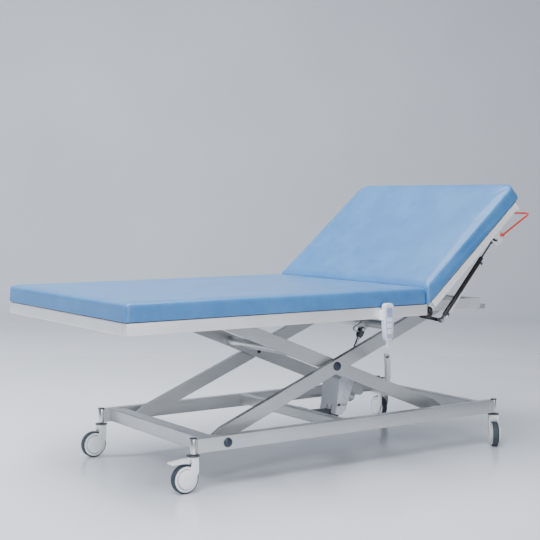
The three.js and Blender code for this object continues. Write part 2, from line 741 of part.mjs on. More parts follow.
const shell = plateXZ([
  ...ring(HANDSET_X + 9, 634, 12, 0, 90, 4),
  ...ring(HANDSET_X - 9, 634, 12, 90, 180, 4),
  [HANDSET_X - 21, 540],
  [HANDSET_X - 14, 506],
  [HANDSET_X - 10, 502],
  [HANDSET_X + 10, 502],
  [HANDSET_X + 14, 506],
  [HANDSET_X + 21, 540],
], -525, -503.2);
const keyRows = [622, 600];
const keys = keyRows.map((z) => plateXZ(
  roundRect(HANDSET_X - 11, HANDSET_X + 11, z - 8, z + 8, 4),
  -526.6,
  -522,
));
add('handset_body', cut(
  join(shell, cylZ(6.5, HANDSET_X, -514, 478, 510, 20)),
  cylZ(3.8, HANDSET_X, -514, 470, 504, 16),
  ...keyRows.map((z) => plateXZ(
    roundRect(HANDSET_X - 11.5, HANDSET_X + 11.5, z - 8.5, z + 8.5, 4.4),
    -530,
    -519.8,
  )),
), white);
add('handset_key_up', keys[0], blueKey);
add('handset_key_down', keys[1], blueKey);

const cordRoute = [
  [1095, -514, 500],
  [1095, -514, 480],
  [1097, -511, 461],
  [1107, -497, 446],
  [1136, -461, 437],
  [1173, -420, 428],
];
const coilRoute = [
  [1173.9, -419.1, 427.4],
  [1212, -376, 402],
  [1252, -330, 360],
  [1290, -287, 312],
];
const curve = (route) => new THREE.CatmullRomCurve3(route.map((p) => new THREE.Vector3(...p)));
add('cord_straight', tubeAlong(curve(cordRoute), 2.4, 8, 18), cordGrey);
add('cord_coil', tubeAlong(curve(coilRoute), 12, 12, 10), cordGrey);

// ---------------------------------------------------------------- casters

// Drawn about the swivel axis, trailing toward -X, then turned and placed.
function caster(name, x, y, turn, braked) {
  const place = (geometry) => geometry.rotateZ(rad(turn)).translate(x, y, 0);
  const cheek = [
    ...ring(-TRAIL, WHEEL_R, 34, 76, 358, 20),
    [4, 60],
    [10, 70],
    [13, 82],
    [13, 126],
    [-13, 126],
    [-15, 106],
    [-20, 94],
  ];
  // Plan of the crown: narrow fore and aft, wide across the wheel, round at the corners.
  const crownPlan = [
    ...ring(4, 12, 8, 0, 90, 4),
    ...ring(-62, 12, 8, 90, 180, 4),
    ...ring(-62, -12, 8, 180, 270, 4),
    ...ring(4, -12, 8, 270, 360, 4),
  ];
  const spindle = cylY(5, -TRAIL, WHEEL_R, -21.5, 21.5, 20);
  let fork = join(
    cut(
      common(plateXZ(cheek, -20, 20), plateXY(crownPlan, 20, 140)),
      box(-100, 60, -16.2, 16.2, 20, 107.2),
    ),
    cylZ(5.6, 0, 0, 120, 181, 16),
    cylZ(23, 0, 0, 126, 132.5, 24),
    spindle,
  );
  if (braked) {
    const ears = [-1, 1].map((side) => {
      const [e0, e1] = span(side, 8.8, 13.8);
      return box(-27, -8, e0, e1, 108.4, 120);
    });
    fork = join(
      cut(fork, box(-60, -15, -9.2, 9.2, 104, 124.5)),
      ...ears,
      cylY(3, -21, 114, -13, 13, 12),
    );
  }
  add(`caster_fork_${name}`, place(fork), white);
  const groove = (side) => {
    const [g0, g1] = span(side, 13, 18);
    return cut(cylY(35.5, -TRAIL, WHEEL_R, g0, g1, 28), cylY(31, -TRAIL, WHEEL_R, g0 - 1, g1 + 1, 24));
  };
  const rim = cut(
    turned([
      [0, -14.5],
      [WHEEL_R - 10, -14.5],
      [WHEEL_R - 3, -13],
      [WHEEL_R, -8],
      [WHEEL_R, 8],
      [WHEEL_R - 3, 13],
      [WHEEL_R - 10, 14.5],
      [0, 14.5],
    ], 32).rotateX(Math.PI / 2).translate(-TRAIL, 0, WHEEL_R),
    cylY(5.45, -TRAIL, WHEEL_R, -17, 17, 20),
    groove(-1),
    groove(1),
  );
  add(`caster_wheel_${name}`, place(rim), tyre);
  if (braked) {
    const pedal = cut(
      join(
        plateXY(roundRect(-88, -29, -17, 17, 8), 109, 115),
        box(-40, -18, -8, 8, 109.5, 117),
        cylY(5, -21, 114, -8, 8, 16),
      ),
      cylY(3.45, -21, 114, -12, 12, 12),
    );
    add(`brake_pedal_${name}`, place(pedal), white);
  }
}

caster('foot_near', CASTER_FOOT, -CASTER_Y, 0, true);
caster('foot_far', CASTER_FOOT, CASTER_Y, 0, false);
caster('head_near', CASTER_HEAD, -CASTER_Y, 54, false);
caster('head_far', CASTER_HEAD, CASTER_Y, -95, true);

export default table;
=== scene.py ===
import math
from math import cos, pi, radians, sin

import bmesh
import bpy
from mathutils import Matrix, Vector


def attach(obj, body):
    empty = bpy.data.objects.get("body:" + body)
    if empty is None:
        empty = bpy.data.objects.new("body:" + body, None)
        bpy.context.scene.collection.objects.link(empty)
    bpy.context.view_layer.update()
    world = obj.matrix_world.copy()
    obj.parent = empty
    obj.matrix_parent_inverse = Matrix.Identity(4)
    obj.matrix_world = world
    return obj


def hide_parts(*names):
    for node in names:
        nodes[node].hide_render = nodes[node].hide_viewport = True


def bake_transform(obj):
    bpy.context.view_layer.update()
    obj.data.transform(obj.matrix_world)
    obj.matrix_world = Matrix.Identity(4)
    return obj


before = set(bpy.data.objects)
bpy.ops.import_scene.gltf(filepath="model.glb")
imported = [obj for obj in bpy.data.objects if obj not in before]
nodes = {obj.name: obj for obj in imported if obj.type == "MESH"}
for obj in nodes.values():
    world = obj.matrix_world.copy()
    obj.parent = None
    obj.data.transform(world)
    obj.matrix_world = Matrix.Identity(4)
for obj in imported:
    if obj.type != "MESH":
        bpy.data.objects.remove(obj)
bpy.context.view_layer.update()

# Lengths below are millimetres in the table's own frame: X from the pad's foot
# edge, Y from the centre line, Z from the floor. P() gives the row frame in metres.
ORIGIN_X, ORIGIN_Y = 944.896, -13.3
HINGE = (1335.0, 603.0)
BACK = 40.4
SLOPE = 21.75
MID = (1025.5, 385.75)
ACT_LOW, ACT_ANGLE, ACT_Y = (1172.0, 158.0), 63.85, -62.0
STRUT_LOW, STRUT_ANGLE, STRUT_Y = (1424.0, 557.0), 48.0, -450.0
WHEEL_R, TRAIL = 51.5, 35.0
PAD_TOP, PAD_HALF_WIDTH = 693.0, 498.5
CAMERA_AT = (-1790.4, -3932.4, 1037.6)
CAMERA_YAW, CAMERA_PITCH, CAMERA_ROLL = 34.49, 3.44, 0.11
CASTERS = {
    "foot_near": (336, -360.5, 0, True),
    "foot_far": (336, 360.5, 0, False),
    "head_near": (1811, -360.5, 54, False),
    "head_far": (1811, 360.5, -95, True),
}


def P(x, y, z):
    return Vector(((x - ORIGIN_X) / 1000, (y - ORIGIN_Y) / 1000, z / 1000))


def turned_xz(p, at, angle):
    """Raise the +X end of a point by an angle about an axis along Y."""
    c, s = cos(radians(angle)), sin(radians(angle))
    dx, dz = p[0] - at[0], p[2] - at[1]
    return (at[0] + dx * c - dz * s, p[1], at[1] + dx * s + dz * c)


def raised(p):
    return turned_xz(p, HINGE, BACK)


# ------------------------------------------------------------------ camera

def make_camera():
    yaw, pitch, roll = (radians(a) for a in (CAMERA_YAW, CAMERA_PITCH, CAMERA_ROLL))
    ahead = Vector((sin(yaw) * cos(pitch), cos(yaw) * cos(pitch), -sin(pitch)))
    right = ahead.cross(Vector((0, 0, 1))).normalized()
    up = right.cross(ahead)
    r2 = right * cos(roll) + up * sin(roll)
    u2 = up * cos(roll) - right * sin(roll)
    turn = Matrix((r2, u2, -ahead)).transposed().to_4x4()
    data = bpy.data.cameras.new("camera")
    data.lens, data.sensor_width = 79.25, 36.0
    data.shift_y = -0.3 / 540
    data.clip_start, data.clip_end = 0.1, 60
    cam = bpy.data.objects.new("camera", data)
    bpy.context.scene.collection.objects.link(cam)
    cam.matrix_world = Matrix.Translation(P(*CAMERA_AT)) @ turn
    bpy.context.scene.camera = cam


make_camera()


# ------------------------------------------------------------------ materials

class Nodes:
    """One procedural material in the making, in the piece's own coordinates."""

    def __init__(self, name):
        self.material = bpy.data.materials.new(name)
        self.material.use_nodes = True
        self.tree = self.material.node_tree
        self.tree.nodes.clear()
        self.out = self.tree.nodes.new("ShaderNodeOutputMaterial")
        self.bsdf = self.tree.nodes.new("ShaderNodeBsdfPrincipled")
        self.link(self.bsdf.outputs[0], self.out.inputs[0])
        self.place = self.tree.nodes.new("ShaderNodeTexCoord").outputs["Object"]

    def link(self, a, b):
        self.tree.links.new(a, b)

    def set(self, **values):
        for key, value in values.items():
            socket = self.bsdf.inputs[key.replace("_", " ")]
            if hasattr(value, "links"):
                self.link(value, socket)
            else:
                socket.default_value = value

    def mapped(self, scale=(1, 1, 1), turn=(0, 0, 0)):
        n = self.tree.nodes.new("ShaderNodeMapping")
        n.vector_type = "POINT"
        n.inputs["Scale"].default_value = scale
        n.inputs["Rotation"].default_value = [radians(a) for a in turn]
        self.link(self.place, n.inputs["Vector"])
        return n.outputs[0]

    def noise(self, scale, detail=3.0, rough=0.5, at=None):
        n = self.tree.nodes.new("ShaderNodeTexNoise")
        n.inputs["Scale"].default_value = scale
        n.inputs["Detail"].default_value = detail
        n.inputs["Roughness"].default_value = rough
        self.link(at or self.place, n.inputs["Vector"])
        return n.outputs["Fac"]

    def cells(self, scale, at=None):
        n = self.tree.nodes.new("ShaderNodeTexVoronoi")
        n.inputs["Scale"].default_value = scale
        self.link(at or self.place, n.inputs["Vector"])
        return n.outputs["Distance"]

    def span(self, value, a, b, lo=0.0, hi=1.0):
        n = self.tree.nodes.new("ShaderNodeMapRange")
        self.link(value, n.inputs["Value"])
        for key, v in zip(("From Min", "From Max", "To Min", "To Max"), (a, b, lo, hi)):
            n.inputs[key].default_value = v
        return n.outputs[0]

    def math(self, how, a, b):
        n = self.tree.nodes.new("ShaderNodeMath")
        n.operation = how
        for socket, v in zip(n.inputs, (a, b)):
            if hasattr(v, "links"):
                self.link(v, socket)
            else:
                socket.default_value = v
        return n.outputs[0]

    def mix(self, fac, a, b):
        n = self.tree.nodes.new("ShaderNodeMix")
        n.data_type = "RGBA"
        if hasattr(fac, "links"):
            self.link(fac, n.inputs["Factor"])
        else:
            n.inputs["Factor"].default_value = fac
        for key, v in (("A", a), ("B", b)):
            socket = [s for s in n.inputs if s.name == key and s.type == "RGBA"][0]
            if hasattr(v, "links"):
                self.link(v, socket)
            else:
                socket.default_value = (*v, 1)
        return [s for s in n.outputs if s.type == "RGBA"][0]

    def bump(self, height, distance, strength=1.0, under=None):
        n = self.tree.nodes.new("ShaderNodeBump")
        n.inputs["Strength"].default_value = strength
        n.inputs["Distance"].default_value = distance
        self.link(height, n.inputs["Height"])
        if under is not None:
            self.link(under, n.inputs["Normal"])
        return n.outputs[0]

    def round_edges(self, radius):
        n = self.tree.nodes.new("ShaderNodeBevel")
        n.samples = 4
        n.inputs["Radius"].default_value = radius
        return n.outputs[0]

    def edge_mask(self, rounded):
        geometry = self.tree.nodes.new("ShaderNodeNewGeometry")
        n = self.tree.nodes.new("ShaderNodeVectorMath")
        n.operation = "DOT_PRODUCT"
        self.link(rounded, n.inputs[0])
        self.link(geometry.outputs["Normal"], n.inputs[1])
        return self.span(n.outputs["Value"], 0.995, 0.9)


def brushed(name, turn=(0, 0, 0), color=(0.60, 0.61, 0.615), rough=0.36, metal=0.9):
    """Satin metal with a fine grain along the member's own length."""
    m = Nodes(name)
    along = m.mapped((3.0, 260.0, 260.0), turn)
    streaks = m.noise(4.0, 5.0, 0.6, along)
    cloud = m.noise(5.0, 2.0)
    rounded = m.round_edges(0.0016)
    edge = m.edge_mask(rounded)
    grain = m.span(streaks, 0.3, 0.7, 0.9, 1.08)
    shade = m.math("MULTIPLY", grain, m.span(cloud, 0.3, 0.7, 0.95, 1.05))
    low = tuple(c * 0.86 for c in color)
    high = tuple(min(1.0, c * 1.12) for c in color)
    base = m.mix(m.span(shade, 0.85, 1.12), low, high)
    # Rounded edges are mixed towards a fixed pale grey: edge wear together with a painted highlight along
    # the edges.
    m.set(
        Base_Color=m.mix(edge, base, (0.74, 0.745, 0.75)),
        Metallic=metal,
        Roughness=m.span(streaks, 0.25, 0.75, rough - 0.06, rough + 0.08),
        Normal=m.bump(streaks, 0.00012, 0.35, rounded),
    )
    return m.material


def moulded(name, color, rough=0.35, grain=900.0, depth=0.00006, mottled=0.04, radius=0.001, **more):
    """Moulded plastic or smooth paint with a fine grain, and edges lightened as wear and as a painted
    highlight.
    """
    m = Nodes(name)
    fine = m.noise(grain, 2.0)
    cloud = m.noise(18.0, 3.0)
    rounded = m.round_edges(radius)
    edge = m.edge_mask(rounded)
    low = tuple(c * (1 - mottled) for c in color)
    high = tuple(min(1.0, c * (1 + mottled)) for c in color)
    base = m.mix(m.span(cloud, 0.3, 0.7), low, high)
    # Lighter edge colour: wear together with a painted highlight on every rounded edge.
    edge_wear_and_highlight = tuple(min(1.0, c * 1.15 + 0.02) for c in color)
    m.set(
        Base_Color=m.mix(m.math("MULTIPLY", edge, 0.5), base, edge_wear_and_highlight),
        Roughness=m.span(cloud, 0.3, 0.7, rough - 0.04, rough + 0.05),
        Normal=m.bump(fine, depth, 0.5, rounded),
        **more,
    )
    return m.material


def vinyl_material():
    m = Nodes("blue_vinyl")
    cloud = m.noise(7.0, 4.0, 0.55)
    blotch = m.noise(38.0, 3.0, 0.5)
    pebble = m.cells(900.0)
    crease = m.noise(260.0, 4.0, 0.6)
    tone = m.math("ADD", m.math("MULTIPLY", cloud, 0.7), m.math("MULTIPLY", blotch, 0.3))
    base = m.mix(m.span(tone, 0.38, 0.62), (0.032, 0.150, 0.375), (0.048, 0.190, 0.435))
    pores = m.math("ADD", m.span(pebble, 0.0, 0.8, 0.0, 0.7), m.math("MULTIPLY", crease, 0.5))
    soft = m.bump(m.noise(22.0, 2.0), 0.0016, 0.35)
    m.set(
        Base_Color=base,
        Roughness=m.span(blotch, 0.3, 0.7, 0.40, 0.50),
        Normal=m.bump(pores, 0.00022, 0.45, soft),
    )
    m.bsdf.inputs["Sheen Weight"].default_value = 0.10
    m.bsdf.inputs["Sheen Roughness"].default_value = 0.4
    m.bsdf.inputs["Coat Weight"].default_value = 0.35
    m.bsdf.inputs["Coat Roughness"].default_value = 0.28
    return m.material


def board_material():
    m = Nodes("board")
    grain = m.noise(6.0, 5.0, 0.6, m.mapped((2.0, 40.0, 40.0)))
    fibre = m.noise(500.0, 2.0)
    m.set(
        Base_Color=m.mix(m.span(grain, 0.3, 0.7), (0.05, 0.05, 0.052), (0.085, 0.085, 0.09)),
        Roughness=m.span(fibre, 0.3, 0.7, 0.6, 0.75),
        Normal=m.bump(grain, 0.0003, 0.4),
    )
    return m.material


def tyre_material():
    m = Nodes("tyre_rubber")
    dust = m.noise(60.0, 4.0)
    fine = m.noise(1400.0, 2.0)
    m.set(
        Base_Color=m.mix(m.span(dust, 0.35, 0.7), (0.022, 0.034, 0.048), (0.040, 0.056, 0.074)),
        Roughness=m.span(dust, 0.3, 0.7, 0.5, 0.68),
        Normal=m.bump(fine, 0.0001, 0.5),
    )
    return m.material


mat = {
    "x": brushed("steel_along_x"),
    "y": brushed("steel_along_y", (0, 0, 90)),
    # Painted light: top, top_y and back are paler, less metallic copies of the same frame steel. They are
    # lightened to stand in for the light falling on the top rails, their cross pieces and the back rails.
    "top": brushed("steel_top_rail_painted_lit", (0, 0, 0), (0.76, 0.765, 0.77), 0.42, 0.6),
    "top_y": brushed("steel_top_cross_painted_lit", (0, 0, 90), (0.76, 0.77, 0.785), 0.42, 0.6),
    "up": brushed("steel_arm_up", (0, SLOPE, 0)),
    "down": brushed("steel_arm_down", (0, -SLOPE, 0)),
    "back": brushed("steel_back_rail_painted_lit", (0, BACK, 0), (0.95, 0.95, 0.95), 0.4, 0.35),
    "z": brushed("steel_upright", (0, 90, 0), (0.7, 0.71, 0.72), 0.2, 1.0),
    "dark": moulded("dark_steel", (0.10, 0.11, 0.12), 0.4, 700, 0.00008, 0.1, Metallic=0.6),
    # Near-white and barely metallic: partly a thin rod beside the strut barrel, partly a painted highlight
    # standing in for the bright streak along the barrel.
    "sleeve": brushed("strut_tube_painted_highlight", (0, STRUT_ANGLE, 0), (0.92, 0.92, 0.93), 0.3, 0.25),
    "chrome": brushed("bright_steel", (0, STRUT_ANGLE, 0), (0.78, 0.79, 0.8), 0.16, 1.0),
    "vinyl": vinyl_material(),
    "board": board_material(),
    "white": moulded("white_plastic", (0.88, 0.90, 0.91), 0.32, 1100, 0.00004, 0.02),
    "hand": moulded("hand_control_plastic", (0.66, 0.68, 0.76), 0.38, 1100, 0.00005, 0.02),
    "panel": moulded("hand_control_panel", (0.36, 0.39, 0.56), 0.45, 1300, 0.00003, 0.03),
    "key": moulded("hand_control_key", (0.29, 0.34, 0.55), 0.4, 1300, 0.00003, 0.03),
    "tyre": tyre_material(),
    "groove": moulded("rim_groove", (0.30, 0.33, 0.36), 0.5, 900, 0.00005, 0.08),
    "cap": moulded("pivot_cap", (0.018, 0.03, 0.05), 0.28, 800, 0.00005, 0.1),
    "black": moulded("black_paint", (0.014, 0.014, 0.016), 0.25, 900, 0.00003, 0.1),
    "rubber": moulded("black_rubber", (0.02, 0.02, 0.022), 0.6, 1200, 0.0001, 0.15),
    "motor": moulded("actuator_plastic", (0.80, 0.84, 0.89), 0.42, 900, 0.00008, 0.04),
    "nylon": moulded("black_nylon", (0.03, 0.032, 0.035), 0.5, 900, 0.00006, 0.1),
    "red": moulded("red_paint", (0.62, 0.045, 0.02), 0.3, 900, 0.00003, 0.05),
    "cord": moulded("cord_sheath", (0.58, 0.59, 0.61), 0.45, 1500, 0.00004, 0.06),
}

BY_NODE = {
    "base_beam": "x", "base_cross": "y", "outer_arm": "up", "inner_arm": "down",
    # The top, top_y and back steels are the frame steel's copies with painted light.
    "outer_cross_tube": "y", "inner_cross_tube": "y", "top_rail": "top",
    "top_cross": "top_y", "top_outrigger": "top_y", "scissor_rail": "top",
    "back_rail": "back", "back_cross": "y", "actuator_bracket": "dark",
    "cord_clip": "dark", "sub_head_cross": "y", "base_pivot_pin": "cap",
    "mid_pivot_pin": "cap", "roller_": "nylon", "seat_board": "board",
    "back_board": "board", "seat_pad": "vinyl", "back_pad": "vinyl",
    "handset_body": "hand", "handset_cradle": "white", "handset_key": "key",
    "actuator_housing": "motor", "actuator_rod": "black", "strut_cylinder": "black",
    "strut_rod": "chrome", "release_bail": "red", "cord_": "cord",
    "caster_fork": "white", "caster_wheel": "tyre", "brake_pedal": "white",
}
for name, node in nodes.items():
    key = next(v for k, v in BY_NODE.items() if name.startswith(k))
    node.data.materials.clear()
    node.data.materials.append(mat[key])
    node.data.shade_smooth()
    node.data.set_sharp_from_angle(angle=radians(32))


# ------------------------------------------------------------------ mesh helpers

def mesh_piece(name, verts, faces, material, angle=35):
    data = bpy.data.meshes.new(name)
    data.from_pydata([P(*v) for v in verts], [], faces)
    bm = bmesh.new()
    bm.from_mesh(data)
    bmesh.ops.remove_doubles(bm, verts=bm.verts, dist=1e-6)
    bmesh.ops.recalc_face_normals(bm, faces=bm.faces)
    bm.to_mesh(data)
    bm.free()
    piece = bpy.data.objects.new(name, data)
    bpy.context.scene.collection.objects.link(piece)
    data.materials.append(mat[material])
    data.shade_smooth()
    data.set_sharp_from_angle(angle=radians(angle))
    return piece


def prism(name, outline, y0, y1, material, bevel=0.0, turn=None, steps=3, plane="XZ"):
    """Outline in X and Z, thick along Y, with rounded edges; turn moves each point."""
    n = len(outline)
    if plane == "XZ":
        verts = [(x, y0, z) for x, z in outline] + [(x, y1, z) for x, z in outline]
    elif plane == "XY":
        verts = [(x, y, y0) for x, y in outline] + [(x, y, y1) for x, y in outline]
    else:
        verts = [(y0, y, z) for y, z in outline] + [(y1, y, z) for y, z in outline]
    if turn:
        verts = [turn(v) for v in verts]
    faces = [list(range(n)), list(range(n, 2 * n))[::-1]]
    faces += [(i, (i + 1) % n, n + (i + 1) % n, n + i) for i in range(n)]
    piece = mesh_piece(name, verts, faces, material, 40)
    if bevel:
        bm = bmesh.new()
        bm.from_mesh(piece.data)
        sharp = [e for e in bm.edges if e.calc_face_angle(0) > radians(30)]
        bmesh.ops.bevel(
            bm, geom=sharp, offset=bevel / 1000, segments=steps, profile=0.6,
            affect="EDGES", clamp_overlap=True,
        )
        bm.to_mesh(piece.data)
        bm.free()
        piece.data.shade_smooth()
        piece.data.set_sharp_from_angle(angle=radians(40))
    return piece


def lathe(name, profile, centre, axis, material, sides=48, turn=None, angle=30):
    """Profile of (radius, distance along the axis), closed at both ends by the axis."""
    axis = Vector(axis).normalized()
    side = axis.orthogonal().normalized()
    other = axis.cross(side)
    centre = Vector(centre)
    verts, rows = [], []
    for r, h in profile:
        if r < 1e-6:
            rows.append([len(verts)] * sides)
            verts.append(tuple(centre + axis * h))
            continue
        rows.append(list(range(len(verts), len(verts) + sides)))
        for i in range(sides):
            t = 2 * pi * i / sides
            verts.append(tuple(centre + axis * h + (side * cos(t) + other * sin(t)) * r))
    faces = []
    for a, b in zip(rows, rows[1:]):
        for i in range(sides):
            j = (i + 1) % sides
            quad = [a[i], a[j], b[j], b[i]]
            face = [v for k, v in enumerate(quad) if v not in quad[:k]]
            if len(face) > 2:
                faces.append(face)
    if turn:
        verts = [turn(v) for v in verts]
    return mesh_piece(name, verts, faces, material, angle)


def tube(name, points, r, material, sides=12):
    """Round tube with flat ends along points, with frames carried along the curve."""
    points = [Vector(p) for p in points]
    n = len(points)
    ways = [(points[min(i + 1, n - 1)] - points[max(i - 1, 0)]).normalized() for i in range(n)]
    side = ways[0].orthogonal().normalized()
    verts = []
    for p, way in zip(points, ways):
        side = (side - way * side.dot(way)).normalized()
        other = way.cross(side)
        for i in range(sides):
            t = 2 * pi * i / sides
            verts.append(tuple(p + (side * cos(t) + other * sin(t)) * r))
    faces = [list(range(sides))[::-1], list(range((n - 1) * sides, n * sides))]
    for k in range(n - 1):
        for i in range(sides):
            j = (i + 1) % sides
            faces.append((k * sides + i, k * sides + j, (k + 1) * sides + j, (k + 1) * sides + i))
    return mesh_piece(name, verts, faces, material, 50)


def smooth_route(points, steps):
    """Catmull-Rom curve through the points, sampled evenly."""
    pts = [Vector(p) for p in points]
    pts = [2 * pts[0] - pts[1], *pts, 2 * pts[-1] - pts[-2]]
    fine = []
    for i in range(1, len(pts) - 2):
        a, b, c, d = pts[i - 1:i + 3]
        for k in range(60):
            t = k / 60
            fine.append(0.5 * (
                2 * b + (c - a) * t + (2 * a - 5 * b + 4 * c - d) * t * t
                + (3 * b - a - 3 * c + d) * t ** 3
            ))
    fine.append(pts[-2])
    lengths = [0.0]
    for a, b in zip(fine, fine[1:]):
        lengths.append(lengths[-1] + (b - a).length)
    out, k = [], 0
    for i in range(steps + 1):
        want = lengths[-1] * i / steps
        while k < len(fine) - 2 and lengths[k + 1] < want:
            k += 1
        part = (want - lengths[k]) / max(lengths[k + 1] - lengths[k], 1e-9)
        out.append(fine[k].lerp(fine[k + 1], min(max(part, 0), 1)))
    return out, lengths[-1]


def arc(cx, cz, r, a0, a1, n):
    return [
        (cx + r * cos(radians(a0 + (a1 - a0) * i / n)), cz + r * sin(radians(a0 + (a1 - a0) * i / n)))
        for i in range(n + 1)
    ]


def round_box(x0, x1, z0, z1, r, n=4):
    return (
        arc(x1 - r, z1 - r, r, 0, 90, n) + arc(x0 + r, z1 - r, r, 90, 180, n)
        + arc(x0 + r, z0 + r, r, 180, 270, n) + arc(x1 - r, z0 + r, r, 270, 360, n)
    )


def rounded(corners, r, n=5):
    """Polygon with each corner rounded by a fillet of radius r (or its own third value)."""
    out = []
    for i, corner in enumerate(corners):
        here = Vector(corner[:2])
        a = (Vector(corners[i - 1][:2]) - here)
        b = (Vector(corners[(i + 1) % len(corners)][:2]) - here)
        size = corner[2] if len(corner) > 2 else r
        back = min(size / math.tan(a.angle(b) / 2), a.length * 0.49, b.length * 0.49)
        start, end = here + a.normalized() * back, here + b.normalized() * back
        for k in range(n + 1):
            t = k / n
            q = start * (1 - t) ** 2 + here * 2 * t * (1 - t) + end * t * t
            out.append((q.x, q.y))
    return out


def merge(name, pieces):
    """Join meshes into one piece that keeps each one's material."""
    bm = bmesh.new()
    materials = []
    for piece in pieces:
        material = piece.data.materials[0]
        if material not in materials:
            materials.append(material)
        first = len(bm.faces)
        bm.from_mesh(piece.data)
        bm.faces.ensure_lookup_table()
        for face in bm.faces[first:]:
            face.material_index = materials.index(material)
        old = piece.data
        bpy.data.objects.remove(piece)
        bpy.data.meshes.remove(old)
    data = bpy.data.meshes.new(name)
    bm.to_mesh(data)
    bm.free()
    for material in materials:
        data.materials.append(material)
    whole = bpy.data.objects.new(name, data)
    bpy.context.scene.collection.objects.link(whole)
    return whole


def bent(corners, r, n=8):
    """Path of a rod bent to radius r at each inner corner."""
    out = [Vector(corners[0])]
    for a, here, b in zip(corners, corners[1:], corners[2:]):
        a, here, b = Vector(a), Vector(here), Vector(b)
        way_a, way_b = (a - here).normalized(), (b - here).normalized()
        half = way_a.angle(way_b) / 2
        back = r / math.tan(half)
        middle = here + (way_a + way_b).normalized() * (r / sin(half))
        start = here + way_a * back
        end = here + way_b * back
        u, v = start - middle, end - middle
        whole = u.angle(v)
        for k in range(n + 1):
            t = k / n
            out.append(middle + (u * sin((1 - t) * whole) + v * sin(t * whole)) / sin(whole))
    out.append(Vector(corners[-1]))
    return out


def put(piece, body, slot, *replaced):
    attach(piece, body)
    if replaced:
        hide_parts(*replaced)
    return piece


# ------------------------------------------------------------------ cord

CORD_D = 4.8
COIL_R = 9.6


def make_cord():
    """Straight drop from the hand control, then a springy coil down to the near inner arm."""
    drop = [
        (1095, -514, 500), (1095, -514, 480), (1097, -511, 461), (1109, -496, 446), (1134, -466, 438),
    ]
    spine = [(1173.9, -419.1, 427.4), (1212, -376, 402), (1252, -330, 360), (1290, -287, 312)]
    path = list(smooth_route(drop, 26)[0])
    middle = smooth_route(spine, 720)[0]
    turns = 36
    way = (middle[1] - middle[0]).normalized()
    side = Vector((0, 0, 1)) - way * way.z
    side.normalize()
    across_way = way.cross(side)
    # The cord rolls into the coil's first turn along that turn's own direction.
    first = middle[0] + side * COIL_R
    last, ahead = path[-1], (path[-1] - path[-2]).normalized()
    for k in range(1, 20):
        t = k / 20
        a, b = last + ahead * 22, first - across_way * 24
        path.append(
            last * (1 - t) ** 3 + a * 3 * t * (1 - t) ** 2 + b * 3 * t * t * (1 - t) + first * t ** 3
        )
    for i, p in enumerate(middle):
        way = (middle[min(i + 1, len(middle) - 1)] - middle[max(i - 1, 0)]).normalized()
        side = (side - way * side.dot(way)).normalized()
        other = way.cross(side)
        angle = 2 * pi * turns * i / (len(middle) - 1)
        path.append(p + (side * cos(angle) + other * sin(angle)) * COIL_R)
    piece = tube("cord", path, CORD_D / 2, "cord", 12)
    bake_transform(piece)
    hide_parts("cord_straight", "cord_coil")


make_cord()


# ------------------------------------------------------------------ pads

def cushion(name, verts, faces, edge, voxel, cap, held, up=Vector((0, 0, 1))):
    """Upholstered pad: a bevelled blank, remeshed, then puffed by a short cloth simulation."""
    pad = mesh_piece(name, verts, faces, "vinyl", 180)
    bm = bmesh.new()
    bm.from_mesh(pad.data)
    for face in bm.faces:
        face.normal_update()
    flat = [f for f in bm.faces if abs(f.normal.dot(up)) > 0.99]
    top = max(flat, key=lambda f: f.calc_center_median().dot(up))
    bmesh.ops.bevel(
        bm, geom=list(top.edges), offset=edge / 1000, segments=5, profile=0.6,
        affect="EDGES", clamp_overlap=True,
    )
    bm.to_mesh(pad.data)
    bm.free()
    context = bpy.context
    context.view_layer.objects.active = pad
    remesh = pad.modifiers.new("remesh", "REMESH")
    remesh.mode, remesh.voxel_size, remesh.adaptivity = "VOXEL", voxel / 1000, 0.0
    relax = pad.modifiers.new("relax", "SMOOTH")
    relax.factor, relax.iterations = 0.5, 6
    with context.temp_override(object=pad, active_object=pad, selected_objects=[pad]):
        bpy.ops.object.modifier_apply(modifier="remesh")
        bpy.ops.object.modifier_apply(modifier="relax")
    before = [v.co.copy() for v in pad.data.vertices]
    group = pad.vertex_groups.new(name="held")
    group.add([i for i, p in enumerate(before) if held(p)], 1.0, "REPLACE")
    cloth = pad.modifiers.new("cloth", "CLOTH")
    s = cloth.settings
    s.quality = 4
    s.mass = 0.3
    s.tension_stiffness = s.compression_stiffness = 25
    s.shear_stiffness = 10
    s.bending_stiffness = 1.5
    s.use_pressure = True
    s.uniform_pressure_force = 4
    s.vertex_group_mass = "held"
    s.effector_weights.gravity = 0
    cloth.collision_settings.use_collision = False
    scene = context.scene
    for f in range(1, 21):
        scene.frame_set(f)
    dg = context.evaluated_depsgraph_get()
    after = [v.co.copy() for v in pad.evaluated_get(dg).data.vertices]
    pad.modifiers.remove(cloth)
    pad.vertex_groups.remove(group)
    scene.frame_set(1)
    limit = cap / 1000
    for v, a, b in zip(pad.data.vertices, before, after):
        move = b - a
        size = move.length
        if size > 1e-9:
            v.co = a + move * (limit * math.tanh(size / limit) / size)
    pad.data.update()
    finer = pad.modifiers.new("finer", "SUBSURF")
    finer.levels = finer.render_levels = 1
    with context.temp_override(object=pad, active_object=pad, selected_objects=[pad]):
        bpy.ops.object.modifier_apply(modifier="finer")
    pad.data.shade_smooth()
    return pad


def outline_solid(outline, z0, z1, turn=None):
    n = len(outline)
    verts = [(x, y, z0) for x, y in outline] + [(x, y, z1) for x, y in outline]
    if turn:
        verts = [turn(v) for v in verts]
    faces = [list(range(n)), list(range(n, 2 * n))[::-1]]
    faces += [(i, (i + 1) % n, n + (i + 1) % n, n + i) for i in range(n)]
    return verts, faces


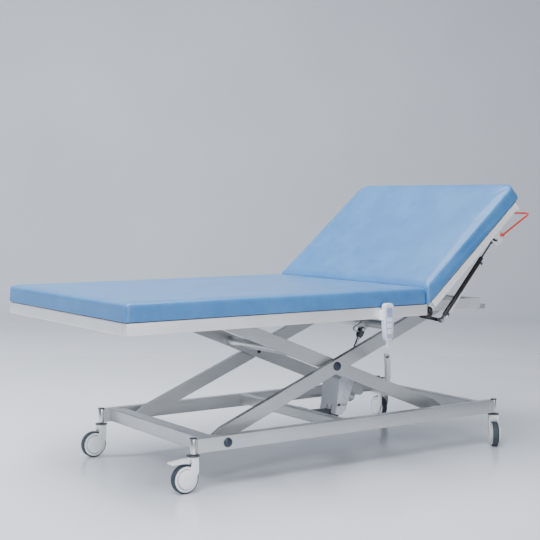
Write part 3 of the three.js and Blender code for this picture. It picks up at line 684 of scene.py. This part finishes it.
SEAT = round_box(1.5, 1309.5, -PAD_HALF_WIDTH, PAD_HALF_WIDTH, 13, 4)
floor_of_seat = P(0, 0, 634).z
seat = cushion(
    "seat_cushion", *outline_solid(SEAT, 630.3, PAD_TOP), 12, 6.5, 4.0,
    lambda p: p.z < floor_of_seat,
)
put(seat, "upper_frame", "vinyl", "seat_pad")

# The backrest pad is drawn flat, its seat end cut so that it stands vertical once raised.
c, s = cos(radians(BACK)), sin(radians(BACK))
END_X = 1311.0


def flat_end(z):
    """X, lying flat, of the point that stands at END_X once raised, at height z."""
    return HINGE[0] + ((END_X - HINGE[0]) + (z - HINGE[1]) * s) / c


def back_shape(v):
    x, y, z = v
    if x < 1400:
        x = flat_end(z)
    return raised((x, y, z))


HEAD = 2005.5
HEAD_CORNER = 55
BACK_PLAN = (
    [(1330, -PAD_HALF_WIDTH)]
    + arc(HEAD - HEAD_CORNER, HEAD_CORNER - PAD_HALF_WIDTH, HEAD_CORNER, 270, 360, 6)
    + arc(HEAD - HEAD_CORNER, PAD_HALF_WIDTH - HEAD_CORNER, HEAD_CORNER, 0, 90, 6)
    + [(1330, PAD_HALF_WIDTH)]
)
normal = Vector((-s, 0, c))
foot_of_back = P(*raised((1600, 0, 634))).dot(normal)
back = cushion(
    "back_cushion", *outline_solid(BACK_PLAN, 630.4, PAD_TOP, back_shape), 12, 6.5, 4.0,
    lambda p: p.dot(normal) < foot_of_back or p.x < P(1316, 0, 0).x, normal,
)
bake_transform(back)
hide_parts("back_pad")


# Thin boards under both pads, inset so that the covers reach the rails.
board = prism(
    "seat_base", rounded([(8, -491), (1303, -491), (1303, 491), (8, 491)], 6), 628.3, 630.1,
    "board", 0.5, plane="XY",
)
put(board, "upper_frame", "board", "seat_board")
board = prism(
    "back_base", rounded([
        (1362, -491, 4), (HEAD - 7, -491, 48), (HEAD - 7, 491, 48), (1362, 491, 4),
    ], 6, 8), 628.5, 630.2, "board", 0.5, raised, plane="XY",
)
put(board, "backrest", "board", "back_board")


# ------------------------------------------------------------------ base frame

BEAM_Y = (344.0, 377.0)
SOCKETS = (336.0, 1811.0)


def across(side, a, b):
    return (min(side * a, side * b), max(side * a, side * b))


for word, side in (("near", -1), ("far", 1)):
    y0, y1 = across(side, *BEAM_Y)
    beam = prism(
        f"beam_{word}", rounded([(347, 138.5), (1799.5, 138.5), (1799.5, 190.5), (347, 190.5)], 1.5, 2),
        y0, y1, "x", 2.2,
    )
    parts = [beam]
    for x in SOCKETS:
        at = (x, side * 360.5, 0)
        parts.append(lathe("socket", [
            (0, 134), (9.6, 134), (11, 135.2), (11.3, 137), (11.3, 188.5), (10.6, 190.2), (0, 190.2),
        ], at, (0, 0, 1), "z"))
        parts.append(lathe("socket_cap", [
            (0, 190.2), (12.6, 190.2), (13.2, 191), (13.2, 192.6), (12, 194.2), (7, 195), (0, 195.2),
        ], at, (0, 0, 1), "cap"))
        inner = x + (11 if x < 1000 else -11)
        web = sorted((inner - (4 if x < 1000 else -4), 347.5 if x < 1000 else 1799))
        parts.append(prism(
            "socket_web", rounded([(web[0], 141), (web[1], 141), (web[1], 188), (web[0], 188)], 1, 2),
            side * 360.5 - 9, side * 360.5 + 9, "x", 0.8,
        ))
    t0, t1 = (side * 344.5, side * 323)
    for low in (143.5, 181.5):
        lip = [(t0, low), (t1, low), (t1, low + 4), (t0, low + 4)]
        if side > 0:
            lip = lip[::-1]
        parts.append(prism("track_lip", lip, 1370, 1700, "x", 0.8, plane="YZ"))
    put(merge(f"base_beam_{word}_steel", parts), "base", "frame_steel", f"base_beam_{word}")


def dome_cap(name, body, node, at, side, hidden):
    """Dark domed cover on a pivot, with its pin behind it."""
    profile = [
        (0, -hidden), (8, -hidden), (8, -1.2), (16.2, -1.2), (17.3, -0.2), (17.5, 1.4), (16.7, 3.6),
        (14.2, 5.8), (10.4, 7.2), (5.5, 7.9), (0, 8.1),
    ]
    cap = lathe(name, profile, at, (0, side, 0), "cap", 56, angle=60)
    put(cap, body, "pivot_caps", node)


for word, side in (("near", -1), ("far", 1)):
    dome_cap(
        f"base_pivot_cap_{word}", "base", f"base_pivot_pin_{word}",
        (471, side * 377.8, 164.5), side, 104,
    )
    dome_cap(
        f"mid_pivot_cap_{word}", "outer_arms", f"mid_pivot_pin_{word}",
        (MID[0], side * 296.8, MID[1]), side, 52,
    )


# ------------------------------------------------------------------ casters

def caster(name, x, y, turn, braked):
    c, s = cos(radians(turn)), sin(radians(turn))

    def at(v):
        return (x + v[0] * c - v[1] * s, y + v[0] * s + v[1] * c, v[2])

    hub = (-TRAIL, 0, WHEEL_R)
    cheek = arc(-TRAIL, WHEEL_R, 34, 74, 352, 40)
    cheek += [(1.2, 52), (4.5, 58.5), (8.6, 65.5), (11.4, 73), (12.5, 82)]
    cheek += [(12.5, 122), (11.6, 125), (9, 126.5), (-10, 126.5), (-13, 125), (-14.5, 120)]
    cheek += [(-14.8, 113), (-15.6, 106), (-18, 98), (-21.6, 90.5)]
    parts = []
    for side in (-1, 1):
        y0, y1 = across(side, 16.2, 20.2)
        parts.append(prism("cheek", cheek, y0, y1, "white", 1.5, at, 3))
        parts.append(lathe("hub_cover", [
            (31.5, 0), (30.5, 0.7), (24, 1.3), (14, 1.9), (8.6, 2.1), (7.6, 1.4), (6.8, 1.4),
            (5.8, 2.3), (3, 2.7), (0, 2.8),
        ], (-TRAIL, side * 20.1, WHEEL_R), (0, side, 0), "white", 56, at, 50))
    crown = rounded([
        (12.3, 106.5, 3), (12.3, 126.6, 4), (-14.6, 126.6, 4), (-15.4, 106.5, 3),
    ], 3)
    parts.append(prism("crown", crown, -17.5, 17.5, "white", 1.2, at, 2))
    parts.append(lathe("crown_boss", [
        (0, 118), (19.5, 118), (21, 121), (21.4, 126), (20.5, 127.4), (0, 127.4),
    ], (-1, 0, 0), (0, 0, 1), "white", 48, at, 50))
    fork = merge(f"fork_{name}", parts)
    put(fork, f"caster_fork_{name}", "caster_plastic", f"caster_fork_{name}")
    ring = lathe(f"swivel_ring_{name}", [
        (0, 127.4), (22.8, 127.4), (24, 128.2), (24, 131), (22.8, 132), (12, 132.4), (0, 132.4),
    ], (0, 0, 0), (0, 0, 1), "dark", 56, at, 50)
    put(ring, f"caster_fork_{name}", "dark_steel")
    tyre = lathe(f"tyre_{name}", [
        (44.6, -12.4), (47.6, -12.9), (49.8, -11.6), (51.1, -8.6), (51.5, -4), (51.5, 4),
        (51.1, 8.6), (49.8, 11.6), (47.6, 12.9), (44.6, 12.4), (44.6, -12.4),
    ], hub, (0, 1, 0), "tyre", 72, at, 60)
    put(tyre, f"caster_wheel_{name}", "tyre", f"caster_wheel_{name}")
    half = [
        (0, 14.2), (33.5, 14.2), (34.4, 13), (36.6, 13), (37.6, 14.2), (43.4, 14.2), (45.2, 13.4),
        (45.8, 11.8),
    ]
    rim = lathe(
        f"rim_{name}", [(r, -h) for r, h in half] + [(r, h) for r, h in half[::-1]],
        hub, (0, 1, 0), "white", 64, at, 40,
    )
    put(rim, f"caster_wheel_{name}", "caster_plastic")
    rings = [
        lathe("line", [(33.8, 12.8), (35, 13.5), (37.2, 13.5), (37.8, 12.8), (33.8, 12.8)], hub,
              (0, side, 0), "groove", 64, at, 60)
        for side in (-1, 1)
    ]
    put(merge(f"rim_line_{name}", rings), f"caster_wheel_{name}", "tyre")
    if braked:
        profile = rounded([
            (-21, 121.5, 2), (-32, 121.8, 6), (-58, 119, 20), (-82, 116.4, 12), (-92, 117, 4),
            (-97, 113.5, 3), (-94, 108, 3), (-84, 108.6, 8), (-60, 108.8, 20), (-22, 107.4, 1.5),
        ], 3)
        pedal = prism(f"pedal_{name}", profile, -15.5, 15.5, "white", 1.6, at, 3)
        put(pedal, f"brake_pedal_{name}", "caster_plastic", f"brake_pedal_{name}")


for name, values in CASTERS.items():
    caster(name, *values)


# ------------------------------------------------------------------ top rails and hinges

for word, side in (("near", -1), ("far", 1)):
    y0, y1 = across(side, 464, 494)
    rail = prism(
        f"rail_{word}", [(6, 586), (1313, 586), (1313, 628), (6, 628)], y0, y1, "top", 2.4,
    )
    put(rail, "upper_frame", "frame_steel", f"top_rail_{word}")
    plate = prism(
        "hinge_plate", rounded([
            (1309, 590, 3), (1318, 574, 6), (1336, 574, 9), (1347, 592, 12), (1346, 612, 12),
            (1333, 618, 6), (1309, 622, 3),
        ], 6), *across(side, 482, 488), "black", 1.5,
    )
    knobs = [plate]
    for x, z, r, out in ((1335, 603, 9.5, 491), (1328, 586, 10.5, 492.5)):
        knobs.append(lathe("knob", [
            (0, -30), (6, -30), (6, -2), (r - 1.2, -2), (r, -0.6), (r, 3.2), (r - 1.6, 5),
            (r * 0.45, 5.8), (0, 6),
        ], (x, side * (out - 5), z), (0, side, 0), "black", 40, angle=60))
    hinge = merge(f"hinge_{word}", knobs)
    put(hinge, "upper_frame", "dark_steel")


link = rounded([
    (1303, 606, 2), (1316, 582, 8), (1332, 570, 8), (1424, 550, 5), (1431, 557, 5), (1424, 564, 5),
    (1336, 583, 8), (1318, 604, 6), (1303, 618, 2),
], 5)
parts = [
    prism("outrigger", [(1273, 586), (1303, 586), (1303, 628), (1273, 628)], -463.7, -377.3, "top_y", 2),
    prism("link", link, -436, -431, "black", 1.4),
    lathe("link_pin", [
        (0, -3), (6.5, -3), (7, -2), (7, 0), (4, 0.6), (4, 23), (6, 23.4), (6.4, 24.4), (6, 27), (0, 27.6),
    ], (STRUT_LOW[0], -434, STRUT_LOW[1]), (0, -1, 0), "chrome", 32, angle=40),
]
put(merge("outrigger_near", parts), "upper_frame", "frame_steel", "top_outrigger_near")


for word, side in (("near", -1), ("far", 1)):
    y0, y1 = across(side, 464.6, 493.4)
    end = rounded([(1944.4, 590, 1), (1949, 591, 6), (1953, 607, 10), (1949, 626, 6), (1944.4, 627, 1)], 4)
    put(prism(f"back_rail_end_{word}", end, y0, y1, "white", 2.4, raised), "backrest", "white_plastic")


# ------------------------------------------------------------------ release bar

BAIL_A, BAIL_B = (1822.6, 564.9), (1997.6, 531.5)
bar = [raised(p) for p in (
    (BAIL_A[0], -480, BAIL_A[1]), (BAIL_B[0], -480, BAIL_B[1]),
    (BAIL_B[0], 480, BAIL_B[1]), (BAIL_A[0], 480, BAIL_A[1]),
)]
parts = [tube("bar", bent(bar, 22, 10), 4.1, "red", 20)]
for side in (-1, 1):
    parts.append(lathe("bar_pin", [
        (0, -18), (4, -18), (4, -9), (6.2, -8.6), (6.6, -7.6), (6.6, 3), (5.8, 4.4), (0, 5),
    ], raised((BAIL_A[0], side * 480, BAIL_A[1])), (0, side, 0), "red", 28, angle=50))
put(merge("release_bar", parts), "release_bail", "red_paint", "release_bail")


# ------------------------------------------------------------------ gas strut

strut_way = (cos(radians(STRUT_ANGLE)), 0, sin(radians(STRUT_ANGLE)))
strut_up = (-strut_way[2], 0, strut_way[0])


def on_strut(d, n=0.0):
    return tuple(
        a + d * w + n * u
        for a, w, u in zip((STRUT_LOW[0], STRUT_Y, STRUT_LOW[1]), strut_way, strut_up)
    )


parts = [
    lathe("barrel", [
        (0, 24), (6, 24), (8.2, 25.6), (8.8, 28), (8.8, 322), (8.2, 325), (6.4, 327), (4.6, 327.6),
        (4.6, 331), (0, 331),
    ], on_strut(0), strut_way, "black", 40, angle=40),
    lathe("stem", [(0, 6), (5.6, 6), (5.6, 25), (0, 25)], on_strut(0), strut_way, "dark", 28),
    lathe("eye", [
        (0, -8), (7, -8), (9.6, -6.4), (10.4, -3), (10.4, 3), (9.6, 6.4), (7, 8), (0, 8),
    ], on_strut(0), (0, 1, 0), "dark", 36, angle=50),
]
put(merge("strut_barrel", parts), "strut_cylinder", "black_steel", "strut_cylinder")
# Thin pale tube along the barrel's side: partly a rod, partly a painted highlight for the bright streak
# the barrel shows there.
sleeve = [
    lathe("sleeve", [
        (0, 24), (3.2, 24), (4.4, 25.5), (4.4, 308), (3.6, 310), (2.2, 310.6), (2.2, 318), (0, 318),
    ], on_strut(0, -14.5), strut_way, "sleeve", 32),
]
for d in (34, 300):
    sleeve.append(lathe("collar", [
        (0, d), (6.2, d), (6.8, d + 1), (6.8, d + 10), (6.2, d + 11), (0, d + 11),
    ], on_strut(0, -14.5), strut_way, "dark", 28))
put(merge("strut_tube_painted_highlight", sleeve), "strut_cylinder", "bright_rod")
parts = [
    lathe("rod", [(0, 200), (3.7, 200), (3.7, 404), (0, 404)], on_strut(0), strut_way, "dark", 24),
    lathe("rod_end", [
        (0, 402), (5, 402), (6, 403.5), (6, 410), (0, 411),
    ], on_strut(0), strut_way, "dark", 24),
    lathe("rod_eye", [
        (0, -22), (4, -22), (4, -6), (8, -6), (9, -5), (9, 5), (8, 6), (0, 6),
    ], on_strut(418.5), (0, 1, 0), "dark", 32, angle=50),
]
put(merge("strut_piston", parts), "strut_rod", "bright_rod", "strut_rod")


# ------------------------------------------------------------------ actuator

act_way = (cos(radians(ACT_ANGLE)), 0, sin(radians(ACT_ANGLE)))
act_at = (ACT_LOW[0], ACT_Y, ACT_LOW[1])
case = rounded([
    (1164, 186, 4), (1212, 186, 3), (1262, 312, 9), (1252, 320, 6), (1186, 309, 9), (1176, 298, 8),
], 6, 5)
lobe = rounded([(1156, 155, 7), (1194, 152, 7), (1215, 196, 3), (1167, 200, 4)], 6, 5)
parts = [prism("case", case, ACT_Y - 55, ACT_Y + 55, "motor", 5, steps=4)]
for y0, y1 in ((ACT_Y - 55, ACT_Y - 22), (ACT_Y + 22, ACT_Y + 55)):
    parts.append(prism("lobe", lobe, y0, y1, "motor", 5, steps=4))
for k in range(4):
    x = 1170 + 10.4 * k
    rib = rounded([
        (x, 164 + k), (x + 4.2, 163 + k), (x + 4.2 + 48, 296), (x + 48, 296),
    ], 1.6, 3)
    parts.append(prism("rib", rib, ACT_Y - 57.8, ACT_Y - 52, "motor", 1))
    parts.append(prism("rib", rib, ACT_Y + 52, ACT_Y + 57.8, "motor", 1))
for z in (236, 243):
    lean = 1164 + (z - 190) * 0.14
    band = rounded([
        (lean - 2.2, z), (lean + 4, z), (lean + 4, z + 2.6), (lean - 2.2, z + 2.6),
    ], 0.8, 2)
    parts.append(prism("band", band, ACT_Y - 48, ACT_Y + 48, "motor", 0.5))
for y in (-46, -32, 32, 46):
    parts.append(lathe("gland", [
        (0, 141), (3.4, 141), (4.6, 142), (4.6, 147), (6.2, 148), (6.8, 149.4), (6.8, 156), (0, 157),
    ], (1176 + 0.1 * y, ACT_Y + y, 0), (0, 0, 1), "rubber", 24))
parts.append(lathe("tube_collar", [
    (0, 118), (15, 118), (16.4, 120), (16.4, 172), (15.4, 176), (12.6, 177.5), (12.4, 236),
    (13.4, 237), (13.4, 240), (12.4, 241), (8.4, 241), (8.4, 228),
], act_at, act_way, "black", 40, angle=40))
eye = rounded([
    (1159, 158, 12), (1166, 194, 2), (1200, 194, 2), (1186, 152, 12), (1172, 145, 12),
], 10)
parts.append(prism("eye", eye, ACT_Y - 7.4, ACT_Y + 7.4, "motor", 1.5))
motor_way = (cos(radians(20)), 0, -sin(radians(20)))
parts.append(lathe("motor", [
    (0, -24), (21, -24), (21.6, -22), (21.6, 40), (23, 41), (23, 48), (21.6, 49), (20, 53), (9, 54),
    (8, 56), (0, 56),
], (1235, ACT_Y, 230), motor_way, "z", 48, angle=40))
put(merge("actuator_case", parts), "actuator_housing", "motor_grey", "actuator_housing")


REACH = 369.9


def on_actuator(v):
    """From (along the actuator, Y, square to it) to the table's X, Y, Z."""
    along, y, up = v
    return (
        act_at[0] + along * act_way[0] - up * act_way[2],
        y,
        act_at[2] + along * act_way[2] + up * act_way[0],
    )


prong = [
    *arc(REACH, 0, 11.5, -90, 90, 10), (REACH - 24, 11.5), (REACH - 31, 8), (REACH - 31, -8),
    (REACH - 24, -11.5),
]
parts = [
    lathe("rod", [
        (0, REACH - 248), (7, REACH - 248), (7.4, REACH - 246), (7.4, REACH - 32), (0, REACH - 31),
    ], act_at, act_way, "z", 36),
    lathe("rod_collar", [
        (0, REACH - 37), (10.6, REACH - 37), (11.6, REACH - 36), (11.6, REACH - 28), (0, REACH - 27),
    ], act_at, act_way, "dark", 40),
    lathe("rod_pin", [
        (0, -15), (7.6, -15), (8, -14.2), (8, -12.3), (5.8, -12), (5.8, 12), (8, 12.3), (8, 14.2),
        (7.6, 15), (0, 15),
    ], on_actuator((REACH, ACT_Y, 0)), (0, 1, 0), "chrome", 32),
]
for y in (-11.6, 6.4):
    parts.append(prism("prong", prong, ACT_Y + y, ACT_Y + y + 5.2, "dark", 1, on_actuator))
put(merge("actuator_piston", parts), "actuator_rod", "bright_rod", "actuator_rod")


# ------------------------------------------------------------------ hand control

X = 1095
body = [
    *arc(X + 8, 631, 14, 0, 90, 6), *arc(X - 8, 631, 14, 90, 180, 6), (X - 22.4, 600), (X - 22, 565),
    (X - 20.4, 538), (X - 17.4, 518), (X - 14, 507), (X - 10, 502), (X + 10, 502), (X + 14, 507),
    (X + 17.4, 518), (X + 20.4, 538), (X + 22, 565), (X + 22.4, 600),
]
parts = [prism("shell", body, -525, -503.4, "hand", 4.5, steps=4)]
panel = [
    *arc(X + 7, 619, 9, 0, 90, 5), *arc(X - 7, 619, 9, 90, 180, 5), (X - 15.6, 560), (X - 13, 522),
    *arc(X - 5, 519, 8, 190, 270, 4), *arc(X + 5, 519, 8, 270, 350, 4), (X + 13, 522), (X + 15.6, 560),
]
parts.append(prism("panel", panel, -525.5, -523, "panel", 0.4))
for z in (584, 561, 538):
    key = round_box(X - 12.5, X + 12.5, z - 9.2, z + 9.2, 3.4)
    key = [(X + (x - X) * (1 - max(0, 566 - q) * 0.004), q) for x, q in key]
    parts.append(prism("key_pad", key, -526.2, -524, "hand", 0.6))
parts.append(lathe("relief", [
    (0, 476), (3.1, 476), (4.2, 477.5), (4.9, 486), (5.2, 488), (5.9, 490), (5.4, 492), (6.2, 494),
    (6.6, 503), (0, 504),
], (X, -514, 0), (0, 0, 1), "hand", 32))
put(merge("hand_control", parts), "handset", "white_plastic", "handset_body")
for word, z in (("up", 622), ("down", 600)):
    outline = round_box(X - 11, X + 11, z - 7.8, z + 7.8, 3.6)
    key = prism(f"hand_key_{word}", outline, -527, -522, "key", 0.9)
    put(key, f"key_{word}", "keys", f"handset_key_{word}")


# ------------------------------------------------------------------ stage

BACKDROP_TURN = 34.5


def stage():
    # Floor that curves up into a backdrop behind the object.
    ahead = Vector((sin(radians(BACKDROP_TURN)), cos(radians(BACKDROP_TURN)), 0))
    right = Vector((ahead.y, -ahead.x, 0))
    m = Nodes("floor")
    haze = m.noise(0.8, 3.0)

    def along(way, a, b):
        n = m.tree.nodes.new("ShaderNodeVectorMath")
        n.operation = "DOT_PRODUCT"
        m.link(m.place, n.inputs[0])
        n.inputs[1].default_value = way
        return m.span(n.outputs["Value"], a, b)

    pale = m.mix(m.span(haze, 0.3, 0.7), (0.66, 0.69, 0.75), (0.71, 0.735, 0.79))
    # The backdrop is matt, so the lamps do not show in it.
    matt = m.math("MULTIPLY", along(ahead, 2.4, 4.8), 0.85)
    m.set(
        Base_Color=pale,
        Roughness=m.math("MAXIMUM", m.span(haze, 0.3, 0.7, 0.14, 0.2), matt),
    )
    m.bsdf.inputs["Specular IOR Level"].default_value = 0.6
    data = bpy.data.meshes.new("floor")
    profile = [(-9.0, 0.0), (5.2, 0.0)]
    profile += [(5.2 + 2.2 * sin(radians(a)), 2.2 - 2.2 * cos(radians(a))) for a in range(6, 91, 6)]
    profile += [(7.4, 9.0)]
    verts = []
    for d, h in profile:
        verts.append(ahead * d - right * 12 + Vector((0, 0, h)))
        verts.append(ahead * d + right * 12 + Vector((0, 0, h)))
    faces = [(2 * i, 2 * i + 1, 2 * i + 3, 2 * i + 2) for i in range(len(profile) - 1)]
    data.from_pydata(verts, [], faces)
    data.shade_smooth()
    data.materials.append(m.material)
    plane = bpy.data.objects.new("floor", data)
    bpy.context.scene.collection.objects.link(plane)

    world = bpy.data.worlds.new("studio")
    bpy.context.scene.world = world
    world.use_nodes = True
    sky = world.node_tree.nodes["Background"]
    sky.inputs[0].default_value = (0.76, 0.83, 0.95, 1)
    sky.inputs[1].default_value = 0.34

    def lamp(name, at, towards, size, power, color=(1, 1, 1)):
        data = bpy.data.lights.new(name, "AREA")
        data.shape, data.size, data.size_y = "RECTANGLE", size[0], size[1]
        data.energy, data.color = power, color
        lamp = bpy.data.objects.new(name, data)
        bpy.context.scene.collection.objects.link(lamp)
        way = Vector(towards) - Vector(at)
        lamp.matrix_world = Matrix.Translation(at) @ way.to_track_quat("-Z", "Y").to_matrix().to_4x4()
        return lamp

    lamp("key", (-2.2, -1.5, 4.0), (-0.1, 0, 0.4), (3.0, 3.0), 300, (0.96, 0.98, 1))
    lamp("front", (-1.0, -4.8, 1.6), (0, 0, 0.5), (3.4, 1.8), 90)
    lamp("sweep_left", (-3.4, 2.2, 3.2), (-1.4, 5.6, 0.9), (3.0, 2.4), 330, (0.93, 0.97, 1))
    lamp("top", (-0.4, 0.6, 3.8), (-0.1, 0, 0), (3.0, 2.4), 150)


stage()
